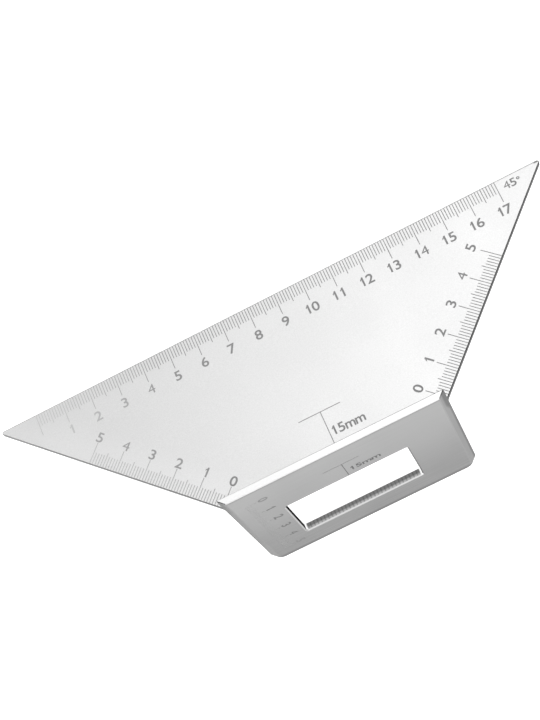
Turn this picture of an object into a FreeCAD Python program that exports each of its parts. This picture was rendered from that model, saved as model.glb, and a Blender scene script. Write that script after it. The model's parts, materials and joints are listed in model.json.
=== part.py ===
"""A carpenter's mitre square: a trapezoid blade with a fence across its short side.

It is one piece of aluminium, machined from an extruded T section. The blade is the stem of
the T and the fence is its bar, which rises a little above the blade as a lip and hangs well
below it. Both ends are cut off at 45 degrees through blade and fence together, so either
slanted edge marks a mitre while the fence bears on the work. A window in the fence lightens
it and shows the line being marked. Millimetre scales are cut along the long edge, up both
slanted edges from the fence's inner face, and down the fence's front from the blade's
underside. A T mark on each face shows a distance of its own.

Millimetres. The square is first made level: X runs along the long edge from the middle, Y
from the fence's inner face towards the long edge, and Z up from the blade's underside. It
can't stand level by itself, so it is then leaned as it comes to rest, on the fence's lower
edge and the blade's long edge.
"""
import math
import os

import FreeCAD
import Part

# The blade, which carries the scales
blade_length = 201.0  # the long edge, between its sharp corners
blade_depth = 60.5  # from the fence's inner face to the long edge
blade_thickness = 2.0
mitre_deg = 45.0  # between the long edge and each slanted edge
tip_radius = 0.7  # eases the two sharp tips

# The fence, the bar of the T section
fence_thickness = 2.6
lip_rise = 8.0  # above the blade's top
fence_drop = 58.5  # below the blade's underside
fence_corner_radius = 1.8  # at its two lower corners
root_radius = 0.5  # in the section's inner corners, above and below the blade

# The window through the fence
window_width = 44.5
window_height = 29.6
window_below_blade = 15.0  # from the blade's underside to the window's top
window_offset = -1.1  # of the window's middle from the fence's
window_corner_radius = 1.0

# Broken edges
edge_break = 0.25  # along the outline
window_break = 0.4  # round the window's front mouth

# The scales, cut as fine grooves
groove_width = 0.25
groove_depth = 0.1
graduation = 1.0  # from one groove of a scale to the next
scale_margin = 0.3  # from an edge of the blade to its grooves
long_grooves = (4.3, 5.4, 7.8)  # lengths: each graduation, each fifth and each tenth
slanted_grooves = (4.0, 5.0, 7.3)
long_scale_start = 14.1  # from the long edge's left corner to its zero
long_scale_end = 10.0  # kept clear at the right corner
slanted_scale_end = 30.0  # kept clear at the far end of each slanted edge
fence_grooves = (2.0, 3.0, 4.0)
fence_scale_margin = 3.8  # from the fence's left end to its grooves
fence_scale_end = 5.0  # kept clear at the fence's lower edge

# The two T marks
blade_mark_height = 15.0  # from the fence's inner face to the bar
blade_mark_bar = (-6.5, 8.5)  # X of the bar's ends
blade_mark_stem = 1.4  # X
fence_mark_drop = 2.8  # from the blade's underside to the bar, which points at the window
fence_mark_bar = (-6.5, 6.5)
fence_mark_stem = 0.2

TOUCH = 1e-4  # how near a point must lie to a plane to count as on it

mitre = math.radians(mitre_deg)
mitre_slope = 1 / math.tan(mitre)  # X lost for each Y away from the long edge
fence_front = -fence_thickness
fence_bottom = -fence_drop
lip_top = blade_thickness + lip_rise


def closed_face(edges):
    """The flat face inside a closed run of edges."""
    return Part.Face(Part.Wire(edges))


def polygon(points):
    """The flat face inside straight lines from point to point and back to the first."""
    corners = [FreeCAD.Vector(*point) for point in points]
    return Part.Face(Part.makePolygon(corners + corners[:1]))


def t_section():
    """The extruded bar: its T section drawn at the left end and drawn out along X."""
    left = -blade_length / 2
    inset = root_radius * (1 - math.sqrt(0.5))

    def at(y, z):
        return FreeCAD.Vector(left, y, z)

    under = [at(0, -root_radius), at(inset, -inset), at(root_radius, 0)]
    over = [
        at(root_radius, blade_thickness),
        at(inset, blade_thickness + inset),
        at(0, blade_thickness + root_radius),
    ]
    edges = [
        Part.makeLine(at(fence_front, fence_bottom), at(0, fence_bottom)),
        Part.makeLine(at(0, fence_bottom), under[0]),
        Part.Arc(*under).toShape(),
        Part.makeLine(under[-1], at(blade_depth, 0)),
        Part.makeLine(at(blade_depth, 0), at(blade_depth, blade_thickness)),
        Part.makeLine(at(blade_depth, blade_thickness), over[0]),
        Part.Arc(*over).toShape(),
        Part.makeLine(over[-1], at(0, lip_top)),
        Part.makeLine(at(0, lip_top), at(fence_front, lip_top)),
        Part.makeLine(at(fence_front, lip_top), at(fence_front, fence_bottom)),
    ]
    return closed_face(edges).extrude(FreeCAD.Vector(blade_length, 0, 0))


def half_width(y):
    """Half the square's width at a distance y from the fence's inner face."""
    return blade_length / 2 - (blade_depth - y) * mitre_slope


def mitred_block():
    """The plan, a trapezoid, drawn out over the whole height. What it holds is kept."""
    corners = [
        (-half_width(blade_depth), blade_depth),
        (half_width(blade_depth), blade_depth),
        (half_width(fence_front), fence_front),
        (-half_width(fence_front), fence_front),
    ]
    plan = polygon([(x, y, fence_bottom) for x, y in corners])
    return plan.extrude(FreeCAD.Vector(0, 0, lip_top - fence_bottom))


def ends(edge):
    """The edge's two end points."""
    return [vertex.Point for vertex in edge.Vertexes]


def lies_at(edge, axis, value):
    """True if both ends of the edge lie on the plane where that coordinate has that value."""
    return all(abs(point[axis] - value) < TOUCH for point in ends(edge))


def runs_along(edge, axis):
    """True if the edge's ends differ only in that coordinate."""
    first, last = ends(edge)
    return all(abs(first[other] - last[other]) < TOUCH for other in range(3) if other != axis)


def round_tips(solid):
    """Eases the two sharp tips of the blade."""
    tips = [edge for edge in solid.Edges if lies_at(edge, 1, blade_depth) and runs_along(edge, 2)]
    return solid.makeFillet(tip_radius, tips)


def round_fence(solid):
    """Rounds the two lower corners of the fence, along the mitre cut."""
    corners = [
        edge
        for edge in solid.Edges
        if lies_at(edge, 2, fence_bottom) and not runs_along(edge, 0)
    ]
    return solid.makeFillet(fence_corner_radius, corners)


def window():
    """The window's opening: a box through the fence with rounded corners."""
    top = -window_below_blade
    bottom = top - window_height
    left = window_offset - window_width / 2
    box = Part.makeBox(
        window_width,
        fence_thickness * 3,
        window_height,
        FreeCAD.Vector(left, -fence_thickness * 2, bottom),
    )
    return box.makeFillet(window_corner_radius, [edge for edge in box.Edges if runs_along(edge, 1)])


def break_edges(solid):
    """Takes the sharpness off the outline, but not off the section's two inner corners."""
    inner = [-root_radius, blade_thickness + root_radius]

    def sharp(edge):
        in_corner = lies_at(edge, 1, root_radius) or any(lies_at(edge, 2, z) for z in inner)
        return not (in_corner and runs_along(edge, 0))

    return solid.makeChamfer(edge_break, [edge for edge in solid.Edges if sharp(edge)])


def break_window(solid):
    """Breaks the edge round the window's front mouth. The back one is left as milled."""
    reach = window_width / 2 + TOUCH
    low = -window_below_blade - window_height - TOUCH
    high = -window_below_blade + TOUCH

    def in_window(point):
        return abs(point.x - window_offset) < reach and low < point.z < high

    mouth = [
        edge
        for edge in solid.Edges
        if lies_at(edge, 1, fence_front) and all(map(in_window, ends(edge)))
    ]
    return solid.makeChamfer(window_break, mouth)


def groove(start, along, out, length):
    """The cutter for a groove from start along a surface, which faces out."""
    box = Part.makeBox(
        groove_width,
        length,
        groove_depth * 2,
        FreeCAD.Vector(-groove_width / 2, 0, -groove_depth),
    )
    box.Placement = FreeCAD.Placement(start, FreeCAD.Rotation(along.cross(out), along, out))
    return box


def scale(zero, run, inward, out, room, lengths, margin, first_margin=None):
    """The cutters of a scale from zero along run, with its grooves pointing inward.

    It has as many whole tens of graduations as there is room for.
    """
    short, middle, long = lengths
    cutters = []
    for count in range(int(room / graduation / 10) * 10 + 1):
        length = long if count % 10 == 0 else middle if count % 5 == 0 else short
        start = zero + run * (count * graduation)
        gap = first_margin if count == 0 and first_margin else margin
        cutters.append(groove(start + inward * gap, inward, out, length + margin - gap))
    return cutters


def blade_scales():
    """The long scale and the two slanted ones, on the blade's top."""
    up = FreeCAD.Vector(0, 0, 1)
    long_zero = FreeCAD.Vector(long_scale_start - blade_length / 2, blade_depth, blade_thickness)
    right = FreeCAD.Vector(1, 0, 0)
    toward_fence = FreeCAD.Vector(0, -1, 0)
    room = blade_length - long_scale_start - long_scale_end
    cutters = scale(long_zero, right, toward_fence, up, room, long_grooves, scale_margin)
    slanted_room = blade_depth / math.sin(mitre) - slanted_scale_end
    past_root = scale_margin + root_radius
    for side in (-1, 1):
        zero = FreeCAD.Vector(side * half_width(0), 0, blade_thickness)
        run = FreeCAD.Vector(side * math.cos(mitre), math.sin(mitre), 0)
        inward = FreeCAD.Vector(-side * math.sin(mitre), math.cos(mitre), 0)
        cutters += scale(
            zero, run, inward, up, slanted_room, slanted_grooves, scale_margin, past_root
        )
    return cutters


def fence_scale():
    """The upright scale at the left of the fence's front, with its zero at the blade's underside."""
    zero = FreeCAD.Vector(-half_width(fence_front), fence_front, 0)
    down = FreeCAD.Vector(0, 0, -1)
    right = FreeCAD.Vector(1, 0, 0)
    front = FreeCAD.Vector(0, -1, 0)
    room = fence_drop - fence_scale_end
    return scale(zero, down, right, front, room, fence_grooves, fence_scale_margin)


def t_marks():
    """A bar and a stem on the blade, down to the lip, and on the fence, down to the window."""
    up = FreeCAD.Vector(0, 0, 1)
    down = FreeCAD.Vector(0, 0, -1)
    right = FreeCAD.Vector(1, 0, 0)
    front = FreeCAD.Vector(0, -1, 0)
    low, high = blade_mark_bar
    blade_bar = FreeCAD.Vector(low, blade_mark_height, blade_thickness)
    blade_stem = FreeCAD.Vector(blade_mark_stem, blade_mark_height, blade_thickness)
    blade_reach = blade_mark_height - root_radius - groove_width
    left, end = fence_mark_bar
    fence_bar = FreeCAD.Vector(left, fence_front, -fence_mark_drop)
    fence_stem = FreeCAD.Vector(fence_mark_stem, fence_front, -fence_mark_drop)
    fence_reach = window_below_blade - fence_mark_drop - window_break - groove_width
    return [
        groove(blade_bar, right, up, high - low),
        groove(blade_stem, front, up, blade_reach),
        groove(fence_bar, right, front, end - left),
        groove(fence_stem, down, front, fence_reach),
    ]


def lean(solid):
    """Turns the square to where it rests and puts the middle of its footprint at the origin."""
    angle = math.degrees(math.atan2(fence_drop, blade_depth))
    resting = solid.copy()
    resting.rotate(FreeCAD.Vector(0, 0, 0), FreeCAD.Vector(1, 0, 0), -angle)
    box = resting.optimalBoundingBox(False, False)
    resting.translate(FreeCAD.Vector(-box.Center.x, -box.Center.y, -box.ZMin))
    return resting


def square():
    """The whole square, leaned as it rests."""
    solid = t_section().common(mitred_block())
    solid = round_tips(solid)
    solid = round_fence(solid)
    solid = break_edges(solid)
    solid = break_window(solid.cut(window()))
    solid = solid.cut(blade_scales() + fence_scale() + t_marks())
    return lean(solid)


os.makedirs("parts", exist_ok=True)
body = square()
body.exportStep("parts/mitre_square.step")
print("solids", len(body.Solids), "valid", body.isValid(), "volume", round(body.Volume, 1))
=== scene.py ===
"""The looks of a carpenter's mitre square: its anodised metal, ruled lines and numerals.

Metres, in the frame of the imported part. The square leans as it rests, so what is drawn on it
is first laid out level, in the square's own directions, and then turned with it.
"""
import json
import math

import bpy
from mathutils import Matrix, Vector


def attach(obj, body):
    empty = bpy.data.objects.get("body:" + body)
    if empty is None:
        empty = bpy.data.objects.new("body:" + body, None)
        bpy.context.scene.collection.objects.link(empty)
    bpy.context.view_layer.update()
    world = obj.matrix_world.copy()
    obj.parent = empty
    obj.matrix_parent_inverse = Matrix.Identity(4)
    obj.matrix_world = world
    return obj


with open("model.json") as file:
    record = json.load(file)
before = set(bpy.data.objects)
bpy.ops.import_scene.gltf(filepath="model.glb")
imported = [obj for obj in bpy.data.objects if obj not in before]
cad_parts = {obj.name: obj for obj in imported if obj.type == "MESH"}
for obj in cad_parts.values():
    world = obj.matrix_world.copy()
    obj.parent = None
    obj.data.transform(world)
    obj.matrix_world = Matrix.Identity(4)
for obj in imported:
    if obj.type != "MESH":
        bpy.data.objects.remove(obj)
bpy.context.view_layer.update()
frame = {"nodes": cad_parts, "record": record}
MM = 0.001


# The photograph's view. The picture was cropped from a larger one, so the lens looks past the
# middle of the frame and the shift brings the square back into it.
camera_data = bpy.data.cameras.new("camera")
camera_data.sensor_width = 36.0
camera_data.lens = 85.2
camera_data.shift_y = 0.2292
camera = bpy.data.objects.new("camera", camera_data)
camera.location = (0.04, 0.2036, 0.5453)
camera.rotation_euler = [math.radians(angle) for angle in (-23.99, -4.028, -26.753)]
bpy.context.scene.collection.objects.link(camera)
bpy.context.scene.camera = camera
bpy.context.scene.view_settings.view_transform = "Standard"


# The studio: a light table of white acrylic, white air round it, and soft lamps. The wide one
# behind the long edge is what the blade reflects. The table's own glow leaves no shadows.
def linear(code):
    """A colour from its sRGB hex code, as the shader wants it."""
    parts = [int(code[i:i + 2], 16) / 255 for i in (1, 3, 5)]
    return [c / 12.92 if c <= 0.04045 else ((c + 0.055) / 1.055) ** 2.4 for c in parts] + [1.0]


def new_finish(name):
    """A new material, its node tree and its Principled shader."""
    material = bpy.data.materials.new(name)
    material.use_nodes = True
    return material, material.node_tree, material.node_tree.nodes["Principled BSDF"]


def deselect():
    """Leaves nothing selected, because an operator acts on all that is."""
    bpy.ops.object.select_all(action="DESELECT")


floor_size = 3.0
deselect()
bpy.ops.mesh.primitive_plane_add(size=floor_size, location=(0, 0, 0))
floor = bpy.context.object
floor.name = "floor"
acrylic, _, acrylic_shader = new_finish("lit_acrylic")
acrylic_shader.inputs["Base Color"].default_value = linear("#bcbcbc")
acrylic_shader.inputs["Roughness"].default_value = 0.9
acrylic_shader.inputs["Specular IOR Level"].default_value = 0.1
acrylic_shader.inputs["Emission Color"].default_value = linear("#ffffff")
acrylic_shader.inputs["Emission Strength"].default_value = 0.85
floor.data.materials.append(acrylic)

world = bpy.data.worlds.new("white_air")
world.use_nodes = True
world.node_tree.nodes["Background"].inputs["Color"].default_value = linear("#ffffff")
world.node_tree.nodes["Background"].inputs["Strength"].default_value = 0.84
bpy.context.scene.world = world


def lamp(name, place, aim, width, height, power):
    """A soft rectangular lamp at place, turned towards aim."""
    data = bpy.data.lights.new(name, "AREA")
    data.shape = "RECTANGLE"
    data.size = width
    data.size_y = height
    data.energy = power
    light = bpy.data.objects.new(name, data)
    light.location = place
    light.rotation_euler = (Vector(aim) - Vector(place)).to_track_quat("-Z", "Y").to_euler()
    bpy.context.scene.collection.objects.link(light)


middle = (0.0, 0.0, 0.02)
lamp("lamp_behind", (0.34, 1.0, 0.6), middle, 1.1, 0.7, 4.2)
lamp("lamp_far_left", (-0.8, 0.9, 0.5), middle, 0.5, 0.5, 1.2)
lamp("lamp_above", (0.1, -0.1, 1.4), middle, 1.2, 1.6, 6.0)
lamp("lamp_left", (-0.7, -0.05, 0.12), middle, 0.5, 0.2, 1.4)
lamp("lamp_right", (0.7, -0.05, 0.12), middle, 0.5, 0.2, 1.6)


# The square itself: one piece of extruded aluminium, machined, blasted with fine beads and
# clear anodised. The scales' grooves are cut in it.
square = frame["nodes"]["mitre_square"]

# Its sizes, in its own directions: X along the long edge from the middle, Y from the fence's
# inner face, and Z up from the blade's underside.
blade_length = 201 * MM
blade_depth = 60.5 * MM
blade_top = 2 * MM
lip_top = 10 * MM
fence_front = -2.6 * MM
fence_foot = -58.5 * MM
half_fence = blade_length / 2 - blade_depth
window_left = -23.35 * MM
window_right = 21.15 * MM
window_top = -15 * MM
window_bottom = -44.6 * MM

mounts = {mount["name"]: mount for mount in frame["record"]["mounts"]}
away = Vector(mounts["fence_face"]["axis"])
up = -Vector(mounts["blade_underside"]["axis"])
corner = Vector(mounts["blade_underside"]["pos_m"]) - away * (blade_depth / 2)
leaned = Matrix.Translation(corner) @ Matrix((Vector((1, 0, 0)), away, up)).transposed().to_4x4()
level = leaned.inverted()


def node(tree, kind, settings, inputs):
    """Adds a node with its settings. Each input gets a link, a colour's code or a value."""
    made = tree.nodes.new(kind)
    for name, value in settings.items():
        setattr(made, name, value)
    for name, value in inputs.items():
        if isinstance(value, bpy.types.NodeSocket):
            tree.links.new(value, made.inputs[name])
        elif isinstance(value, str):
            made.inputs[name].default_value = linear(value)
        else:
            made.inputs[name].default_value = value
    return made


def own_places(tree, place):
    """Where a point is in the square's own directions: the whole, its three parts, and how
    far along the square it is from the slanted edge at the low end of the long scale."""
    laid = node(
        tree,
        "ShaderNodeMapping",
        {"vector_type": "POINT"},
        {
            "Vector": place,
            "Location": tuple(level.to_translation()),
            "Rotation": tuple(level.to_euler()),
        },
    ).outputs[0]
    at_x, at_y, at_z = node(tree, "ShaderNodeSeparateXYZ", {}, {0: laid}).outputs
    past_fence = node(tree, "ShaderNodeMath", {"operation": "ADD"}, {0: at_x, 1: half_fence})
    past_fence = past_fence.outputs["Value"]
    low_gap = node(tree, "ShaderNodeMath", {"operation": "ADD"}, {0: past_fence, 1: at_y})
    return laid, at_x, at_y, at_z, low_gap.outputs["Value"]


def only_where(tree, share, *fades):
    """The share, kept only where all the fades are full. A fade is a value on the surface,
    the number at which it sets in, and the number from which it is full."""
    for value, start, full in fades:
        limits = {"Value": value, "From Min": start, "From Max": full}
        faded = node(tree, "ShaderNodeMapRange", {}, limits).outputs["Result"]
        both = node(tree, "ShaderNodeMath", {"operation": "MULTIPLY"}, {0: share, 1: faded})
        share = both.outputs["Value"]
    return share


def toned(tree, tone, colour, share, *fades):
    """The tone with a share of another colour over it, only where all the fades are full."""
    amount = only_where(tree, share, *fades)
    mix = node(tree, "ShaderNodeMix", {"data_type": "RGBA"}, {0: amount, 6: tone, 7: colour})
    return mix.outputs[2]


# Clear anodised aluminium, bead blasted: a soft grey mirror with a fine sparkling grain. The
# grain is drawn about three times as coarse as the beads leave it, so that it shows. The lip's
# top is a little lighter, and so is the blade along the slanted edge at its low end.
bead_grain = 0.35 * MM
anodised, tree, metal = new_finish("anodised_aluminium")
metal.inputs["Metallic"].default_value = 1.0
coordinates = node(tree, "ShaderNodeTexCoord", {}, {})
place = coordinates.outputs["Object"]
laid, at_x, at_y, at_z, low_gap = own_places(tree, place)
facing = node(
    tree,
    "ShaderNodeMapping",
    {"vector_type": "VECTOR"},
    {"Vector": coordinates.outputs["Normal"], "Rotation": tuple(level.to_euler())},
)
to_x, to_y, to_z = node(tree, "ShaderNodeSeparateXYZ", {}, {0: facing.outputs[0]}).outputs
sideways = node(tree, "ShaderNodeMath", {"operation": "ABSOLUTE"}, {0: to_x}).outputs["Value"]
beads = node(
    tree,
    "ShaderNodeTexNoise",
    {},
    {"Vector": place, "Scale": 1 / bead_grain, "Detail": 2.0},
).outputs["Fac"]
on_lip_top = (at_z, lip_top - 2 * MM, lip_top - 1 * MM)
near_low_edge = (low_gap, 18 * MM, 4 * MM)
blasted = toned(tree, "#b6b6b6", "#cccccc", beads)
blasted = toned(tree, blasted, "#d2d2d2", 1.0, on_lip_top)
blasted = toned(tree, blasted, "#dcdcdc", 0.17, near_low_edge)

# The fence's face keeps the fine lines of the die that it was drawn through. Painted shade
# makes it a little darker towards its foot and its lower left corner.
die_line_length = 30 * MM
die_line_width = 0.5 * MM
stretch = node(
    tree,
    "ShaderNodeMapping",
    {},
    {"Vector": laid, "Scale": (1 / die_line_length, 1, 1 / die_line_width)},
)
die_lines = node(
    tree,
    "ShaderNodeTexNoise",
    {},
    {"Vector": stretch.outputs[0], "Scale": 1.0, "Detail": 3.0},
).outputs["Fac"]
on_front = (to_y, -0.85, -0.95)
up_the_fence = (at_z, -50 * MM, 6 * MM)
on_die_lines = (die_lines, 0.3, 0.7)
to_left_end = (at_x, -30 * MM, -40 * MM)
down_the_fence = (at_z, -5 * MM, -30 * MM)
# Painted shade: darker towards the fence's foot.
fence_face_and_shade = toned(tree, "#7a7a7a", "#9e9e9e", 1.0, up_the_fence)
fence_face_and_shade = toned(tree, fence_face_and_shade, "#939393", 0.5, on_die_lines)
# Painted shade: darker towards the fence's lower left corner.
fence_face_and_shade = toned(tree, fence_face_and_shade, "#606060", 0.15, to_left_end, down_the_fence)
tone = toned(tree, blasted, fence_face_and_shade, 1.0, on_front)

# The blade's mitred edges are sawn. They and their broken corners are painted dark beside its
# faces as shade, and darker towards the right. The fence's ends are painted only a little darker
# than its face, darker on the left end, with painted shade along the far corner, in a wider band
# on the lip.
lip_widening = node(
    tree,
    "ShaderNodeMapRange",
    {},
    {"Value": at_z, "From Min": -5 * MM, "From Max": 0.0, "To Max": 0.8 * MM},
).outputs["Result"]
widened_y = node(tree, "ShaderNodeMath", {"operation": "ADD"}, {0: at_y, 1: lip_widening})
far_corner = (widened_y.outputs["Value"], -1.1 * MM, -0.5 * MM)
right_half = (at_x, -1 * MM, 1 * MM)
to_right = (at_x, -60 * MM, 20 * MM)
in_fence = (at_y, 0.055 * MM, 0.045 * MM)
on_sawn_ends = (sideways, 0.3, 0.45)
# Painted shade on the fence's ends: darker on the left end and along the far corner.
fence_end_shade = toned(tree, "#646464", "#767676", 1.0, right_half)
fence_end_shade = toned(tree, fence_end_shade, "#464646", 1.0, far_corner)
# Painted shade on the blade's sawn edges, darker towards the right.
blade_edge_shade = toned(tree, "#5e5e5e", "#333333", 1.0, to_right)
sawn_shade = toned(tree, blade_edge_shade, fence_end_shade, 1.0, in_fence)
tone = toned(tree, tone, sawn_shade, 1.0, on_sawn_ends)

# The fence is darker along its foot, and its front has painted shade just under the lip's top.
at_foot = (at_z, fence_foot + 2.9 * MM, fence_foot + 1.3 * MM)
under_lip_top = (at_z, lip_top - 1.6 * MM, lip_top - 0.6 * MM)
tone = toned(tree, tone, "#505050", 0.75, at_foot)
# Painted shade just under the lip's top.
tone = toned(tree, tone, "#505050", 0.34, on_front, under_lip_top)

# Painted shade: the long edge's narrow face is painted dark, and so is the lip's far corner, and
# the long edge's rim on the blade's top is painted darker towards the high end. The tip at that
# end is darker too.
to_far = (to_y, 0.3, 0.5)
on_long_edge = (at_y, blade_depth - 0.5 * MM, blade_depth - 0.3 * MM)
on_long_rim = (at_y, blade_depth - 0.5 * MM, blade_depth - 0.4 * MM)
to_above = (to_z, 0.5, 0.6)
to_high_end = (at_x, -90 * MM, 90 * MM)
near_tip = (at_x, blade_length / 2 - 3.3 * MM, blade_length / 2 - 2.3 * MM)
near_long_edge = (at_y, blade_depth - 0.9 * MM, blade_depth - 0.6 * MM)
at_lip_rim = (at_z, lip_top - 1 * MM, lip_top - 0.5 * MM)
to_lip_right = (at_x, -40 * MM, 20 * MM)
# Painted shade on the long edge's narrow face.
tone = toned(tree, tone, "#3b3b3b", 1.0, to_far, on_long_edge)
# Painted shade on the long edge's rim, darker towards the high end.
tone = toned(tree, tone, "#606060", 0.4, on_long_rim, to_above, to_high_end)
tone = toned(tree, tone, "#484848", 0.8, near_tip, near_long_edge)
# Painted shade along the lip's far corner.
tone = toned(tree, tone, "#585858", 0.85, to_far, at_lip_rim, to_lip_right)

# The window's lower wall shows the steps that the cutter left, with painted shade towards its
# back. Its rounded lower corners have a painted highlight, and its side walls are painted dark
# as shade, their reflection darkened by a dark specular tint.
cutter_pitch = 1.35 * MM
near_window = only_where(
    tree,
    1.0,
    (at_x, window_left - 0.6 * MM, window_left - 0.5 * MM),
    (at_x, window_right + 0.6 * MM, window_right + 0.5 * MM),
    (at_z, window_bottom - 0.6 * MM, window_bottom - 0.5 * MM),
    (at_z, window_top + 0.6 * MM, window_top + 0.5 * MM),
)
turns = {0: at_x, 1: 2 * math.pi / cutter_pitch}
along = node(tree, "ShaderNodeMath", {"operation": "MULTIPLY"}, turns).outputs["Value"]
steps = node(tree, "ShaderNodeMath", {"operation": "SINE"}, {0: along}).outputs["Value"]
towards_back = (at_y, -1.8 * MM, -1.2 * MM)
on_steps = (steps, 0.0, 1.0)
lower_wall = (to_z, 0.895, 0.905)
lower_corners = ((sideways, 0.1, 0.3), (to_z, 0.1, 0.3))
side_wall = (sideways, 0.85, 0.95)
# Painted shade: the lower wall is darker towards its back.
milled_and_shaded = toned(tree, "#d7d7d7", "#949494", 1.0, towards_back)
milled_and_shaded = toned(tree, milled_and_shaded, "#3d3d3d", 0.35, on_steps)
tone = toned(tree, tone, milled_and_shaded, near_window, lower_wall)
# Painted highlight on the window's rounded lower corners.
tone = toned(tree, tone, "#ffffff", near_window, *lower_corners)
# Painted shade on the window's side walls, and a dark specular tint there.
tone = toned(tree, tone, "#0e0e0e", near_window, side_wall)
tint = toned(tree, "#ffffff", "#202020", near_window, side_wall)
tree.links.new(tint, metal.inputs["Specular Tint"])

# The window's broken edge has a painted highlight, brightest round its right corners, and
# painted shade only along its right side. The fence's face has a faint painted highlight just
# below the window.
broken = only_where(tree, near_window, (to_y, -0.4, -0.5), (to_y, -0.855, -0.845))
# Painted highlight on the window's broken edge, with painted shade along its right side.
edge_highlight_and_shade = toned(tree, "#c8c8c8", "#b5b5b5", 1.0, (sideways, 0.3, 0.6))
edge_highlight_and_shade = toned(tree, edge_highlight_and_shade, "#ffffff", 1.0, (to_x, 0.0, -0.3))
edge_highlight_and_shade = toned(tree, edge_highlight_and_shade, "#5a5a5a", 1.0, (to_x, -0.55, -0.65))
tone = toned(tree, tone, edge_highlight_and_shade, broken)
below_window = only_where(
    tree,
    0.5,
    on_front,
    (at_x, window_left - 0.06 * MM, window_left - 0.04 * MM),
    (at_x, window_right + 0.06 * MM, window_right + 0.04 * MM),
    (at_z, window_bottom - 1.0 * MM, window_bottom - 0.4 * MM),
    (at_z, window_bottom - 0.29 * MM, window_bottom - 0.31 * MM),
)
# Painted highlight on the fence's face just below the window.
tone = toned(tree, tone, "#c8c8c8", below_window)
tree.links.new(tone, metal.inputs["Base Color"])

# The blasting leaves the surface smoother in some places than in others, in wide clouds.
cloud_size = 25 * MM
clouds = node(
    tree,
    "ShaderNodeTexNoise",
    {},
    {"Vector": place, "Scale": 1 / cloud_size, "Detail": 1.0},
)
roughness = node(
    tree,
    "ShaderNodeMapRange",
    {},
    {"Value": clouds.outputs["Fac"], "To Min": 0.36, "To Max": 0.46},
)
tree.links.new(roughness.outputs["Result"], metal.inputs["Roughness"])
dimples = node(
    tree,
    "ShaderNodeBump",
    {},
    {"Height": beads, "Strength": 0.25, "Distance": 0.02 * MM},
)
tree.links.new(dimples.outputs["Normal"], metal.inputs["Normal"])
square.data.materials.clear()
square.data.materials.append(anodised)


# The marking: what the laser left in the grooves, a film of grey oxide that fills the lower
# part of each. It is laid out level, in the square's own directions, and then leaned with it.
top_face = Matrix.Translation((0, 0, blade_top))
front_face = Matrix.Translation((0, fence_front, 0)) @ Matrix.Rotation(math.pi / 2, 4, "X")
groove_width = 0.25 * MM
groove_depth = 0.1 * MM
film_top = 0.03 * MM  # below the surface
width_share = 0.98  # of the groove, so that the film clears its walls
length_share = 0.995
depth_share = 0.96


def stroke(length):
    """One groove's film, lying along +Y from the origin, a little narrower than the groove."""
    deselect()
    bpy.ops.mesh.primitive_cube_add(size=1.0, location=(0, 0, 0))
    film = bpy.context.object
    depth = groove_depth - film_top
    size = (groove_width * width_share, length * length_share, depth * depth_share)
    bpy.ops.object.mode_set(mode="EDIT")
    bpy.ops.mesh.select_all(action="SELECT")
    bpy.ops.transform.resize(value=size)
    bpy.ops.transform.translate(value=(0, length / 2, -film_top - depth / 2))
    bpy.ops.object.mode_set(mode="OBJECT")
    return film


def copies(pattern, places):
    """A copy of the piece, with a mesh of its own, at each place. The first piece is removed."""
    made = []
    for matrix in places:
        copy = pattern.copy()
        copy.data = pattern.data.copy()
        copy.data.transform(matrix)
        bpy.context.scene.collection.objects.link(copy)
        made.append(copy)
    bpy.data.objects.remove(pattern)
    return made


def joined(pieces, name):
    """The pieces as one piece of that name, leaned with the square and riding on it."""
    deselect()
    for piece in pieces:
        piece.select_set(True)
    bpy.context.view_layer.objects.active = pieces[0]
    bpy.ops.object.join()
    whole = bpy.context.object
    whole.name = name
    whole.data.name = name
    whole.data.transform(leaned)
    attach(whole, "root")
    return whole


def ruled(face, zero, run_deg, side_deg, counts, lengths, margin):
    """The films of a scale's millimetres on a face. It runs from zero at that angle, and its
    grooves start at the margin, to the left of the run, or to the right if side_deg is 180."""
    short, half, whole = lengths
    run = Matrix.Rotation(math.radians(run_deg), 4, "Z")
    side = Matrix.Rotation(math.radians(side_deg), 4, "Z")
    inset = Matrix.Translation((0, margin, 0))
    lay = face @ Matrix.Translation((zero[0], zero[1], 0)) @ run
    tens = [count for count in counts if count % 10 == 0]
    fives = [count for count in counts if count % 10 == 5]
    ones = [count for count in counts if count % 5]
    films = []
    for length, marks in ((whole, tens), (half, fives), (short, ones)):
        places = [lay @ Matrix.Translation((mark * MM, 0, 0)) @ side @ inset for mark in marks]
        films += copies(stroke(length), places)
    return films


def line(face, start, end):
    """The film of a single groove from start to end on a face."""
    run = Vector(end) - Vector(start)
    turn = Matrix.Rotation(math.atan2(-run.x, run.y), 4, "Z")
    return copies(stroke(run.length), [face @ Matrix.Translation((start[0], start[1], 0)) @ turn])


# The long scale, the two slanted scales and the fence's scale. The first groove of a slanted
# scale starts further in, clear of the radius between blade and lip. The mitre cut leaves the
# fence's front shorter than its inner face.
mitre = math.radians(45)
margin = 0.3 * MM
root_radius = 0.5 * MM
long_zero = (14.1 * MM - blade_length / 2, blade_depth)
long_lengths = (4.3 * MM, 5.4 * MM, 7.8 * MM)
slanted_lengths = (4 * MM, 5 * MM, 7.3 * MM)
fence_lengths = (2 * MM, 3 * MM, 4 * MM)
fence_zero = (-(half_fence + fence_front), 0)
fence_margin = 3.8 * MM
films = ruled(top_face, long_zero, 0, 180, range(171), long_lengths, margin)
for side, run_deg, side_deg in ((1, 45, 0), (-1, 135, 180)):
    slanted_zero = (side * half_fence, 0)
    films += ruled(top_face, slanted_zero, run_deg, side_deg, range(1, 51), slanted_lengths, margin)
    inward = Vector((-side * math.sin(mitre), math.cos(mitre)))
    start = Vector(slanted_zero) + inward * (margin + root_radius)
    end = Vector(slanted_zero) + inward * (margin + slanted_lengths[2])
    films += line(top_face, start, end)
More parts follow.
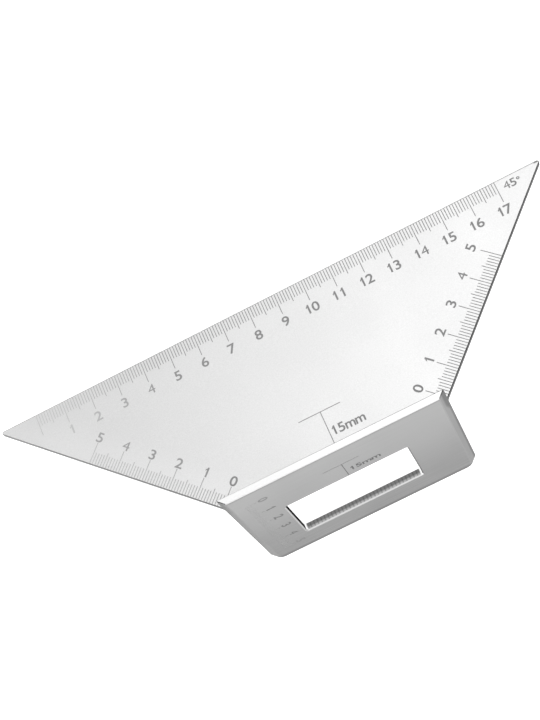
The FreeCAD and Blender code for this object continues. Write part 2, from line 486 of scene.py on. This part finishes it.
films += ruled(front_face, fence_zero, -90, 0, range(51), fence_lengths, fence_margin)

# A gauge mark on the blade and one on the fence: a bar, and a stem that runs from it.
blade_bar = 15 * MM
blade_stem = 1.4 * MM
fence_bar = -2.8 * MM
fence_stem = 0.2 * MM
films += line(top_face, (-6.5 * MM, blade_bar), (8.5 * MM, blade_bar))
films += line(top_face, (blade_stem, blade_bar), (blade_stem, 0.8 * MM))
films += line(front_face, (-6.5 * MM, fence_bar), (6.5 * MM, fence_bar))
films += line(front_face, (fence_stem, fence_bar), (fence_stem, window_top + 0.7 * MM))
lines = joined(films, "ruled_lines")

# Laser marked anodising: a matt grey film of oxide, which takes no shine from the metal. It
# is fainter towards the blade's left end. The numerals of the slanted scale there are a little
# deeper than the rest, and its graduations a little fainter.
speckle_size = 0.5 * MM
oxide, tree, film_shader = new_finish("laser_marked_oxide")
film_shader.inputs["Roughness"].default_value = 0.7
place = node(tree, "ShaderNodeTexCoord", {}, {}).outputs["Object"]
speckle = node(
    tree,
    "ShaderNodeTexNoise",
    {},
    {"Vector": place, "Scale": 1 / speckle_size, "Detail": 1.0},
).outputs["Fac"]
_, at_x, at_y, at_z, low_gap = own_places(tree, place)
right_of_fence_end = (at_x, -38 * MM, 20 * MM)
right_of_low_end = (at_x, -86 * MM, -38 * MM)
deep = toned(tree, "#646464", "#7c7c7c", speckle)
film = toned(tree, "#7a7a7a", deep, 1.0, right_of_fence_end)
film = toned(tree, "#b0b0b0", film, 1.0, right_of_low_end)
below_long_scale = (at_y, 46 * MM, 45 * MM)
past_graduations = (low_gap, 10.9 * MM, 11.1 * MM)
on_graduations = (low_gap, 11.1 * MM, 10.9 * MM)
to_left = (at_x, -44 * MM, -54 * MM)
past_left_tip = (at_x, -80 * MM, -60 * MM)
film = toned(tree, film, deep, 0.45, below_long_scale, past_graduations, to_left)
film = toned(tree, film, "#b8b8b8", 0.2, below_long_scale, on_graduations, past_left_tip)

# On the fence, the gauge mark is the darkest. The scale's graduations are fainter than its
# numerals, and so are its 0 and its 5.
on_fence = (at_y, 0.11 * MM, 0.09 * MM)
at_gauge_mark = (at_x, -16 * MM, -14 * MM)
left_of_mark = (at_x, -14 * MM, -16 * MM)
left_of_numerals = (at_x, -30.4 * MM, -30.6 * MM)
on_numerals = (at_x, -30.6 * MM, -30.4 * MM)
on_zero = (at_z, -3.1 * MM, -2.9 * MM)
on_five = (at_z, -46.9 * MM, -47.1 * MM)
film = toned(tree, film, "#404040", 0.6, on_fence, at_gauge_mark)
fence_scale = only_where(tree, 1.0, on_fence, left_of_mark)
film = toned(tree, film, "#6a6a6a", fence_scale)
film = toned(tree, film, "#a2a2a2", fence_scale, left_of_numerals)
film = toned(tree, film, "#7b7b7b", fence_scale, on_numerals, on_zero)
film = toned(tree, film, "#7b7b7b", fence_scale, on_numerals, on_five)
tree.links.new(film, film_shader.inputs["Base Color"])
lines.data.materials.append(oxide)


# The numerals: printed by the same laser, in a plain upright face, as a film on the surface.
# Each stands at the end of its centimetre's line.
film_proud = 0.012 * MM

# The sizes of the letters are shares of a digit's height.
digit_step = 0.8
letter_steps = {"m": 1.1, "°": 0.55}
letter_sizes = {"°": 0.8}
letter_width = 1.15
letter_widths = {"m": 1.09}
font_height = 0.7  # a digit's height at a text size of 1
swell = 0.022  # thickens the letters
letter_swells = {"4": 0, "°": 0.03}  # the small opening of the four is kept free
one_outline = (
    (0, 0.61),
    (0, 0.77),
    (0.12, 0.86),
    (0.18, 1),
    (0.34, 1),
    (0.34, 0),
    (0.15, 0),
    (0.15, 0.74),
)


def one(height):
    """The digit one, with the flag that the face gives it, from its lower left corner."""
    deselect()
    bpy.ops.curve.primitive_bezier_curve_add(location=(0, 0, 0))
    digit = bpy.context.object
    digit.data.splines.clear()
    outline = digit.data.splines.new("POLY")
    outline.points.add(len(one_outline) - 1)
    for point, (x, y) in zip(outline.points, one_outline):
        point.co = (x * height, y * height, 0, 1)
    outline.use_cyclic_u = True
    digit.data.dimensions = "2D"
    digit.data.fill_mode = "BOTH"
    digit.data.extrude = film_proud
    bpy.ops.object.convert(target="MESH")
    return bpy.context.object


def letter(sign, height):
    """Any other sign, in Blender's own face, a little widened."""
    deselect()
    bpy.ops.object.text_add(location=(0, 0, 0))
    shape = bpy.context.object
    shape.data.body = sign
    shape.data.size = letter_sizes.get(sign, 1.0) * height / font_height
    shape.data.offset = letter_swells.get(sign, swell) * height
    shape.data.extrude = film_proud
    shape.data.resolution_u = 4
    bpy.ops.object.convert(target="MESH")
    shape = bpy.context.object
    shape.data.transform(Matrix.Diagonal((letter_widths.get(sign, letter_width), 1, 1, 1)))
    return shape


def print_text(text, height, face, at, turn_deg):
    """The signs of a printed text, with its middle at that point of the face."""
    steps = [letter_steps.get(sign, digit_step) * height for sign in text]
    pen = -sum(steps) / 2
    turn = Matrix.Rotation(math.radians(turn_deg), 4, "Z")
    lay = face @ Matrix.Translation((at[0], at[1], 0)) @ turn
    signs = []
    for sign, step in zip(text, steps):
        film = one(height) if sign == "1" else letter(sign, height)
        across = [vertex.co.x for vertex in film.data.vertices]
        middle_x = pen + step / 2 - (min(across) + max(across)) / 2
        film.data.transform(lay @ Matrix.Translation((middle_x, -height / 2, 0)))
        signs.append(film)
        pen += step
    return signs


# Two digits stand a little to the left of their line on the long scale, and more so towards
# its high end. The last numeral of the right slanted scale stands further in than the others.
numeral_height = 3.35 * MM
long_numerals_y = 49.6 * MM
pair_shift = -0.45 * MM
pair_drift = -0.09 * MM
left_inset = 9.6 * MM
right_inset = 10.2 * MM
far_five_inset = 11.0 * MM
fence_numerals_x = -27.2 * MM
prints = []
for count in range(1, 18):
    x = long_zero[0] + count * 10 * MM
    if count > 9:
        x += pair_shift + (count - 10) * pair_drift
    prints += print_text(str(count), numeral_height, top_face, (x, long_numerals_y), 0)
for side, side_inset in ((-1, left_inset), (1, right_inset)):
    run = Vector((side * math.cos(mitre), math.sin(mitre)))
    inward = Vector((-side * math.sin(mitre), math.cos(mitre)))
    for count in range(6):
        inset = far_five_inset if (side, count) == (1, 5) else side_inset
        at = Vector((side * half_fence, 0)) + run * (count * 10 * MM) + inward * inset
        prints += print_text(str(count), numeral_height, top_face, at, side * 45)
for count in range(6):
    at = (fence_numerals_x, -count * 10 * MM)
    prints += print_text(str(count), numeral_height, front_face, at, -90)
for text, height, face, at in (
    ("45°", 2.85 * MM, top_face, (88.85 * MM, 57.35 * MM)),
    ("15mm", 3.2 * MM, top_face, (7.9 * MM, 7.2 * MM)),
    ("15mm", 3.0 * MM, front_face, (6.9 * MM, -9.6 * MM)),
):
    prints += print_text(text, height, face, at, 0)
numerals = joined(prints, "numerals")
numerals.data.materials.clear()
numerals.data.materials.append(oxide)
